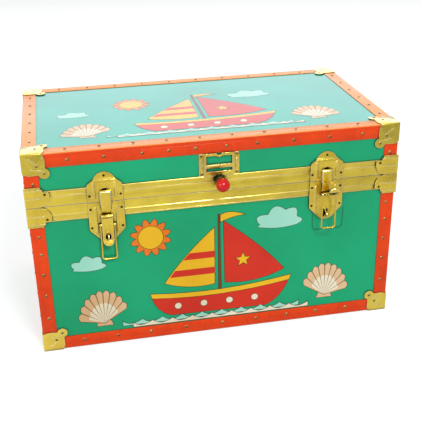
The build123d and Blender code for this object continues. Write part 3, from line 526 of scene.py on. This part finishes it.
# The lower caps' brass is painted lighter than the other brass, to make up for the shaded floor they
# mirror: painted light.
lightened_lower_cap_brass = brass("lower_cap_brass_painted_lighter", "F6DA50", "E6C640", 0.3, even)
nail_brass = brass(
    "dull_brass_nails", "93804F", "5F5134", 0.34, even, lacquered=0.0, corner_shade_colour="2C2416", rubbed=0.2
)
cover(strips, rolled_brass)
cover(clamps + latch_plates + levers + bails + ["card_holder"], stamped_brass)
cover(upper_caps, dull_brass)
cover(lower_caps, lightened_lower_cap_brass)
cover(["bail_pin_left", "bail_pin_right", "body_nails", "lid_nails"], nail_brass)

# %% [markdown]
# The tacks that hold the latch plates have dark, oxidised heads. The pins and hinge leaves at the back
# are plain zinc-plated steel, greyer and duller than the brass.

# %% Dark tacks and zinc-plated steel
dark_tack = brass(
    "oxidised_tack_heads", "3C2E1A", "1E160C", 0.42, even, lacquered=0.0, corner_shade_colour="140E08", rubbed=0.0
)
drawn_lines = (2.0, 2.0, 10.0)
zinc_steel = brass(
    "zinc_plated_steel",
    "B9BBB6",
    "8F928E",
    0.36,
    drawn_lines,
    lacquered=0.0,
    corner_shade_colour="4A4844",
    rubbed=0.3,
)
cover(["body_tacks", "lid_tacks"], dark_tack)
cover(hinge_leaves + ["hinge_pins", "lever_pins", "knob_bolt"], zinc_steel)

# %% [markdown]
# The knob is a turned ball lacquered red on a dark stained collar. Both have a smooth sealed surface,
# so they share the enamel's function with fewer rubs: the ball is the glossiest thing here and the
# collar is satin.

# %% Knob finishes
red_lacquer = enamel(
    "glossy_red_lacquer", "D40E0C", "BE0C0A", "F0564E", roughness=0.08, rub_amount=0.1, gloss_level=0.4
)
dark_stem = enamel(
    "dark_stained_beech", "2C161F", "1C0E14", "5C3A40", roughness=0.34, rub_amount=0.2, gloss_level=0.5
)
cover(["knob_ball"], red_lacquer)
cover(["knob_collar"], dark_stem)

# %% [markdown]
# Inside, the boards are bare plywood. Its face veneer has long, wavy grain along the board: a noise
# squeezed across the grain, 83 mm long and 6 mm wide.

# %% Plywood boards


def plywood(name, light, dark):
    """Bare veneer with wavy grain along X."""
    material, place = start_material(name)
    stretch = add(
        material, "ShaderNodeMapping", {"Scale": (2.0, 26.0, 26.0)}, {"Vector": (place, "Object")}
    )
    grain = add(
        material,
        "ShaderNodeTexNoise",
        {"Scale": 6.0, "Detail": 9.0, "Roughness": 0.62, "Distortion": 0.6},
        {"Vector": (stretch, "Vector")},
    )
    tone = add(
        material, "ShaderNodeValToRGB", {"stops": [(0.32, dark), (0.7, light)]}, {"Fac": (grain, "Fac")}
    )
    bump = add(
        material, "ShaderNodeBump", {"Strength": 0.2, "Distance": 0.3 * mm}, {"Height": (grain, "Fac")}
    )
    shader = add(
        material,
        "ShaderNodeBsdfPrincipled",
        {"Roughness": 0.72},
        {"Base Color": (tone, "Color"), "Normal": (bump, "Normal")},
    )
    add(material, "ShaderNodeOutputMaterial", links={"Surface": (shader, "BSDF")})
    return material


bare_plywood = plywood("bare_birch_plywood", "D9BC8C", "B48E5C")
cover(boards, bare_plywood)

# %% [markdown]
# The decoration on the front and on the lid is litho print: flat areas of ink with a dark drawn line
# round most of them. The inks are the panels' enamel in other colours, a little less glossy.

# %% Inks
ink_roughness = 0.18
line_ink = enamel("printed_line_ink", "241A16", "1A1210", "5A4C40", roughness=0.2, rub_amount=0.15)
red_ink = enamel("printed_red_ink", "D8301A", "C42814", "EE7A5C", ink_roughness)
yellow_ink = enamel("printed_yellow_ink", "F0C020", "E0AC18", "F6DC84", ink_roughness)
orange_ink = enamel("printed_orange_ink", "EE8220", "DC7018", "F4B070", ink_roughness)
shell_ink = enamel("printed_shell_ink", "E2C094", "CFA878", "F0DCBC", ink_roughness)
cream_ink = enamel("printed_cream_ink", "EFE6CC", "DDD0B0", "F8F2E0", ink_roughness)
pale_ink = enamel("printed_pale_ink", "A8E0CC", "90D2BC", "CDEEE0", ink_roughness)
brown_ink = enamel("printed_brown_ink", "7A4426", "66381E", "A87454", ink_roughness)
print("inks:", [name for name in bpy.data.materials.keys() if name.startswith("printed_")])

# %% [markdown]
# We cut every shape as its own thin film, so that it exists in the mesh and not only in a texture.
# Each film has a level, its height in steps of 0.05 mm, so that a higher one covers a lower one. A
# figure with straight sides is a list of points. One with curves is a list of corners, each with the
# point that bends the side after it, or None for a straight side.

# %% The film cutter
film_step = 0.05 * mm


def curve_point(start, bend, end, t):
    """The point at a share t of a side that is drawn towards its bend."""
    return tuple((1 - t) ** 2 * a + 2 * t * (1 - t) * b + t * t * c for a, b, c in zip(start, bend, end))


def shape(corners, steps=8):
    """Points round a closed shape, in millimetres."""
    ring = []
    for i, (start, bend) in enumerate(corners):
        end = corners[(i + 1) % len(corners)][0]
        if bend is None:
            ring.append(start)
        else:
            ring += [curve_point(start, bend, end, step / steps) for step in range(steps)]
    return ring


def round_shape(x, y, reach_x, reach_y, count=28, petals=0, depth=0.0, start=0.0, turn=360.0):
    """Points on an oval or a part of one, with rounded petals cut into its edge if wanted."""
    closed = turn >= 360.0
    ring = []
    for i in range(count if closed else count + 1):
        part = i / count
        angle = math.radians(start + turn * part)
        reach = 1 - depth + depth * abs(math.sin(math.pi * petals * part)) if petals else 1.0
        ring.append((x + reach_x * reach * math.cos(angle), y + reach_y * reach * math.sin(angle)))
    return ring


def film(ring, level, ink, line=0.8):
    """Cuts one film to a ring of points, with a drawn line in millimetres round its edge."""
    bpy.ops.object.select_all(action="DESELECT")
    bpy.ops.mesh.primitive_circle_add(vertices=len(ring), radius=1.0, fill_type="NGON")
    piece = bpy.context.object
    for vertex, (x, y) in zip(piece.data.vertices, ring):
        vertex.co = (x * mm, y * mm, 0.0)
    piece.data.materials.append(line_ink if line else ink)
    piece.data.materials.append(ink)
    bpy.ops.object.mode_set(mode="EDIT")
    bpy.ops.mesh.select_all(action="SELECT")
    rise = {"value": (0.0, 0.0, level * film_step)}
    bpy.ops.mesh.extrude_region_move(TRANSFORM_OT_translate=rise)
    if line:
        bpy.ops.mesh.inset(thickness=line * mm)
        piece.active_material_index = 1
        bpy.ops.object.material_slot_assign()
    bpy.ops.mesh.select_all(action="SELECT")
    bpy.ops.mesh.normals_make_consistent(inside=False)
    bpy.ops.object.mode_set(mode="OBJECT")
    return piece


def join(films, name):
    """Joins films into one mesh with a name."""
    bpy.ops.object.select_all(action="DESELECT")
    for piece in films:
        piece.select_set(True)
    bpy.context.view_layer.objects.active = films[0]
    if len(films) > 1:
        bpy.ops.object.join()
    whole = bpy.context.object
    whole.name = name
    return whole


print("one level of film is", round(film_step / mm, 3), "mm")

# %% [markdown]
# The picture is a toy sailing boat among shells, with a sun, two clouds and a row of waves. The boat
# comes first: a red hull with a yellow rail, a mast with a pennant, a red mainsail with a star and a
# yellow jib with two red bands.

# %% Draw the boat
deck_bend = (0, 72)
hull = [((-118, 86), (-112, 50)), ((-84, 40), None), ((80, 38), (110, 50)), ((124, 94), deck_bend)]
rail = [((-116, 76), (0, 62)), ((121, 83), None), ((124, 94), deck_bend), ((-118, 86), None)]
mast = [(-3, 76), (3, 76), (2, 220), (-2, 220)]
mainsail = [((8, 92), (60, 82)), ((112, 106), (74, 156)), ((7, 208), None)]
jib = [((-8, 92), (-50, 84)), ((-94, 102), (-62, 150)), ((-7, 198), None)]
low_band = [(-8, 112), (-8, 124), (-75, 124), (-84, 112)]
high_band = [(-8, 142), (-8, 154), (-50, 154), (-61, 142)]
pennant = [((2, 218), (18, 228)), ((46, 214), (22, 214)), ((2, 204), None)]
star_x, star_y = 40, 132
star_reaches = (15.0, 6.4)
star = []
for corner in range(10):
    reach = star_reaches[corner % 2]
    angle = math.radians(90 + 36 * corner)
    star.append((star_x + reach * math.cos(angle), star_y + reach * math.sin(angle)))

drawing = [
    film(mast, 2, brown_ink),
    film(shape(mainsail), 3, red_ink),
    film(star, 4, yellow_ink),
    film(shape(jib), 3, yellow_ink),
    film(low_band, 4, red_ink, 0),
    film(high_band, 4, red_ink, 0),
    film(shape(pennant), 3, yellow_ink),
    film(shape(hull), 4, red_ink),
    film(shape(rail), 5, yellow_ink),
]
porthole_y, porthole_radius = 57, 6.5
for porthole_x in (-72, -28, 16, 60):
    porthole = round_shape(porthole_x, porthole_y, porthole_radius, porthole_radius)
    drawing.append(film(porthole, 5, cream_ink))
print("boat:", len(drawing), "films")

# %% [markdown]
# A scallop shell is a fan: an oval sector whose edge has a petal for each rib, with a dark line
# between the ribs and two small ears at the hinge.

# %% Draw the shells
ribs = 9
fan_spread = 152
line_half_width = 0.7


def shell(x, y, lean):
    """One scallop, leaning by a number of degrees."""
    fan_start = 14 + lean
    ears = [(x - 15, y - 7), (x + 15, y - 7), (x + 10, y + 6), (x - 10, y + 6)]
    fan = round_shape(x, y, 44, 62, 72, ribs, 0.09, fan_start, fan_spread) + [(x, y - 2)]
    inner = round_shape(x, y, 27, 38, 54, ribs, 0.07, 20 + lean, 140) + [(x, y)]
    films = [film(ears, 2, shell_ink), film(fan, 3, shell_ink), film(inner, 4, cream_ink, 0)]
    for rib in range(1, ribs):
        angle = math.radians(fan_start + fan_spread * rib / ribs)
        tip_x, tip_y = x + 39 * math.cos(angle), y + 55 * math.sin(angle)
        side_x, side_y = line_half_width * math.sin(angle), -line_half_width * math.cos(angle)
        wedge = [(x, y), (tip_x + side_x, tip_y + side_y), (tip_x - side_x, tip_y - side_y)]
        films.append(film(wedge, 5, brown_ink, 0))
    return films


drawing += shell(-196, 42, 8) + shell(184, 46, -8)
print("with shells:", len(drawing), "films")

# %% [markdown]
# The sun is a yellow disc on an orange one whose edge is cut into twelve petals. Both clouds are one
# outline in two sizes, and the waves are two rows of scooped crests, the pale one half a crest further
# left and behind.

# %% Draw the sun, the clouds and the waves
sun_x, sun_y = -112, 190
drawing.append(film(round_shape(sun_x, sun_y, 34, 34, 96, 12, 0.28), 2, orange_ink))
drawing.append(film(round_shape(sun_x, sun_y, 21, 21), 3, yellow_ink))

puffs = (
    ((-34, -4), (-50, 16)),
    ((-20, 14), (-10, 38)),
    ((10, 20), (34, 30)),
    ((30, 6), (50, -2)),
    ((28, -10), (0, -16)),
    ((-28, -10), (-44, -8)),
)
for cloud_x, cloud_y, size in ((102, 196, 1.0), (-214, 150, 0.72)):
    cloud = [tuple((cloud_x + size * px, cloud_y + size * py) for px, py in pair) for pair in puffs]
    drawing.append(film(shape(cloud), 2, pale_ink))

crests = 9
crest_spacing = 34
for low, level, ink, shift in ((31, 6, pale_ink, -17), (26.5, 7, cream_ink, 0)):
    start_x = -150 + shift
    end_x = start_x + crest_spacing * crests
    crest_xs = range(start_x, end_x, crest_spacing)
    row = [((crest_x, low + 10), (crest_x + 12, low - 4)) for crest_x in crest_xs]
    row += [((end_x, low + 10), None), ((end_x, low - 1), None), ((start_x, low - 1), None)]
    drawing.append(film(shape(row), level, ink))
print("picture:", len(drawing), "films")

# %% [markdown]
# All films become one mesh. It is laid on the front panel by turning it upright, and a copy with its
# own mesh lies on the lid, a little further in from the front edge.

# %% Lay the picture on the front and on the lid
front_print = join(drawing, "front_print")
lid_print = front_print.copy()
lid_print.data = front_print.data.copy()
lid_print.name = "lid_print"
bpy.context.collection.objects.link(lid_print)

front_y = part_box("body_tin")[0].y
lid_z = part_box("lid_top_tin")[1].z
lid_margin = 20 * mm
upright = Matrix.Translation((0.0, front_y, 0.0)) @ Matrix.Rotation(math.pi / 2, 4, "X")
front_print.data.transform(upright)
lid_print.data.transform(Matrix.Translation((0.0, front_y + lid_margin, lid_z)))
for piece, body in ((front_print, "body"), (lid_print, "lid")):
    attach(piece, body)
print("print faces:", len(front_print.data.polygons))

# %% [markdown]
# Behind the openings of the latch plates small dark films lie on the tin: painted shade, for the shade
# that falls into those openings. On the panel round the raised latch's bail lies a thin dark line.

# %% Paint shade behind the latches and draw the dark line round the bail
# A thin dark green line on the panel round the raised latch's bail.
bail_line_ink = enamel("dark_green_line", "107A52", "0C6A46", "2A9A70", roughness=0.3)
bail_line_outline = (
    ((156.6, 224), None),
    ((157.6, 180), (157.6, 172.0)),
    ((165.0, 171.8), None),
    ((203.0, 171.8), (211.0, 172.0)),
    ((211.0, 180), None),
    ((211.6, 209), None),
    ((209.8, 209), None),
    ((209.0, 180.4), (208.8, 174.2)),
    ((203.0, 174.0), None),
    ((165.0, 174.0), (159.6, 174.2)),
    ((159.6, 180.4), None),
    ((158.4, 224), None),
)
latch_xs = (-178.9, 178.9)
window_height, window_radius = 277.6, 7.5
opening_low, opening_high, opening_half = 195, 213, 6
windows = [round_shape(x, window_height, window_radius, window_radius) for x in latch_xs]
openings = [
    [
        (x - opening_half, opening_low),
        (x + opening_half, opening_low),
        (x + opening_half, opening_high),
        (x - opening_half, opening_high),
    ]
    for x in latch_xs
]
# The first two films are painted shade; the third is a thin dark line round the bail.
behind = {
    "lid_latch_shade": ("lid", windows, line_ink),
    "body_latch_shade": ("body", openings, line_ink),
    "bail_dark_line": ("body", [shape(bail_line_outline)], bail_line_ink),
}
for name, (body, rings, ink) in behind.items():
    joined = join([film(ring, 1, ink, 0) for ring in rings], name)
    joined.data.transform(upright)
    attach(joined, body)
print("dark films:", sorted(behind))

# %% [markdown]
# The trunk stands on a plain pale floor. It is matt, so that it keeps the trunk's shadow, and it also
# glows a little to the camera and in mirror images, as white paper in a studio would. In the metal's
# mirror image it grows darker from left to right, which gives every bead and pressed rib a bright and
# a dark side.

# %% Floor
floor_level = cad_box[0][2]
bpy.ops.object.select_all(action="DESELECT")
bpy.ops.mesh.primitive_plane_add(size=14.0, location=(0.0, 0.0, floor_level))
floor = bpy.context.object
floor.name = "studio_floor"
paper, paper_place = start_material("white_studio_paper")
seen = add(paper, "ShaderNodeLightPath")
shown = add(
    paper,
    "ShaderNodeMath",
    {"operation": "MAXIMUM"},
    {0: (seen, "Is Camera Ray"), 1: (seen, "Is Glossy Ray")},
)
across = add(paper, "ShaderNodeSeparateXYZ", links={"Vector": (paper_place, "Object")})
mirrored = add(
    paper,
    "ShaderNodeMapRange",
    {"From Min": -0.75, "From Max": 0.6, "To Min": 0.36, "To Max": 0.14},
    {"Value": (across, "X")},
)
strength = add(
    paper,
    "ShaderNodeMapRange",
    {"To Max": 0.6},
    {"Value": (seen, "Is Camera Ray"), "To Min": (mirrored, "Result")},
)
white = add(
    paper, "ShaderNodeEmission", {"Color": (1.0, 1.0, 1.0, 1.0)}, {"Strength": (strength, "Result")}
)
matt = add(paper, "ShaderNodeBsdfDiffuse", {"Color": (0.5, 0.5, 0.5, 1.0)})
both = add(paper, "ShaderNodeAddShader", links={0: (white, "Emission"), 1: (matt, "BSDF")})
chosen = add(
    paper,
    "ShaderNodeMixShader",
    links={0: (shown, "Value"), 1: (matt, "BSDF"), 2: (both, "Shader")},
)
add(paper, "ShaderNodeOutputMaterial", links={"Surface": (chosen, "Shader")})
floor.data.materials.append(paper)
print("floor at", round(floor_level, 4), "m")

# %% [markdown]
# The world is white to the camera and milder as a light, which keeps the paint's colours deep. In
# mirror images its front wall grows darker from left to right, as the floor does, and its back wall
# is white.

# %% World
world = bpy.data.worlds.new("studio")
bpy.context.scene.world = world
world.use_nodes = True
world.node_tree.nodes.clear()
ray = add(world, "ShaderNodeLightPath")
toward = add(world, "ShaderNodeTexCoord")
side = add(world, "ShaderNodeSeparateXYZ", links={"Vector": (toward, "Generated")})
front_wall = add(
    world,
    "ShaderNodeMapRange",
    {"From Min": -0.7, "From Max": 0.6, "To Min": 1.0, "To Max": 0.5},
    {"Value": (side, "X")},
)
mirrored_wall = add(
    world,
    "ShaderNodeMapRange",
    {"From Min": -0.2, "From Max": 0.2, "To Max": 1.0},
    {"Value": (side, "Y"), "To Min": (front_wall, "Result")},
)
dim_or_mirrored = add(
    world,
    "ShaderNodeMapRange",
    {"To Min": 0.55},
    {"Value": (ray, "Is Glossy Ray"), "To Max": (mirrored_wall, "Result")},
)
seen_directly = add(
    world,
    "ShaderNodeMath",
    {"operation": "MAXIMUM"},
    {0: (ray, "Is Camera Ray"), 1: (ray, "Is Transmission Ray")},
)
level = add(
    world,
    "ShaderNodeMapRange",
    {"To Max": 1.0},
    {"Value": (seen_directly, "Value"), "To Min": (dim_or_mirrored, "Result")},
)
sky = add(
    world,
    "ShaderNodeBackground",
    {"Color": (1.0, 1.0, 1.0, 1.0)},
    {"Strength": (level, "Result")},
)
add(world, "ShaderNodeOutputWorld", links={"Surface": (sky, "Background")})
print("world nodes:", len(world.node_tree.nodes))

# %% [markdown]
# A soft lamp high in front gives the main light and the white glints, one at the left fills it, and a
# long one behind is what the lid's gloss reflects towards the viewer.

# %% Lamps


def softbox(name, place, aim, size, watts, tint="FFFFFF"):
    """A rectangular lamp at a place, turned to an aim."""
    bpy.ops.object.light_add(type="AREA", location=place)
    lamp = bpy.context.object
    lamp.name = name
    lamp.data.shape = "RECTANGLE"
    lamp.data.size, lamp.data.size_y = size
    lamp.data.energy = watts
    lamp.data.color = linear(tint)[:3]
    lamp.rotation_euler = (Vector(aim) - Vector(place)).to_track_quat("-Z", "Y").to_euler()
    print(name, watts, "W")


trunk_middle = (0.0, 0.0, 0.15)
lid_middle = (0.0, 0.0, 0.3)
softbox("front_softbox", (0.35, -1.9, 2.05), trunk_middle, (0.62, 0.5), 40.0)
softbox("left_softbox", (-2.2, -1.2, 1.2), trunk_middle, (1.2, 1.2), 14.0)
softbox("back_softbox", (0.5, 2.3, 1.55), lid_middle, (3.4, 1.5), 25.0, "E6F3FF")

# %% [markdown]
# The camera stands left of the middle and above the lid, as a person would look down at the trunk
# from a metre and a half away. Its place and turn were worked out from the trunk's edges.

# %% Camera
lid_low, lid_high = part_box("lid_top_tin")
middle_y = (lid_low.y + lid_high.y) / 2
bpy.ops.object.camera_add(
    location=(-0.22948, middle_y - 1.32356, 0.77247),
    rotation=(math.radians(65.0305), math.radians(1.1330), math.radians(-11.1654)),
)
camera = bpy.context.object
camera.data.lens = 68.77
camera.data.sensor_width = 36.0
camera.data.dof.use_dof = False
bpy.context.scene.camera = camera
bpy.context.scene.view_settings.view_transform = "Standard"
print("camera at", [round(v, 3) for v in camera.location], "lens", camera.data.lens, "mm")
